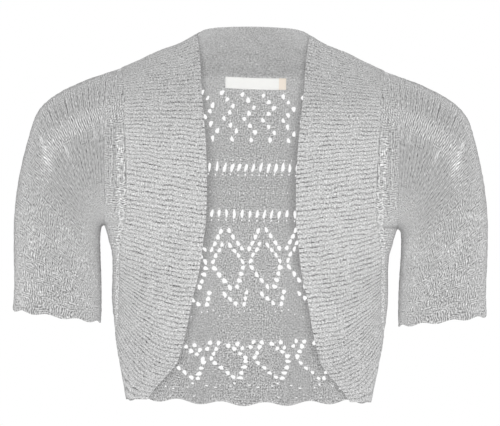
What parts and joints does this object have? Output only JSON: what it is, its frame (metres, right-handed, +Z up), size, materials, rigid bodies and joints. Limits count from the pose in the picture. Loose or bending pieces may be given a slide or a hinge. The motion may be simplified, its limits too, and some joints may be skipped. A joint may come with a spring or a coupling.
{
  "type": "knitted shrug",
  "caption": "Cropped open-front knitted shrug with short set-in sleeves, a wide ribbed band round neck and fronts, and a lace back with a scalloped hem, in its worn shape with no wearer",
  "frame": {"origin": "midway between the wearer's shoulders, at the height of the neck side of the shoulder line, where the garment hangs", "axes": "+X to the wearer's left, +Y to the wearer's back, +Z up"},
  "size_m": [0.5216, 0.2001, 0.4247],
  "materials": {
    "lace_knit": "matte pale grey lace knit",
    "rib_knit": "matte pale grey fine rib knit",
    "woven_label": "smooth cream woven tape"
  },
  "bodies": {
    "root": {"back": "lace_knit", "front_left": "lace_knit", "front_right": "lace_knit", "sleeve_left": "lace_knit", "sleeve_right": "lace_knit", "band": "rib_knit", "label": "woven_label"}
  },
  "joints": []
}
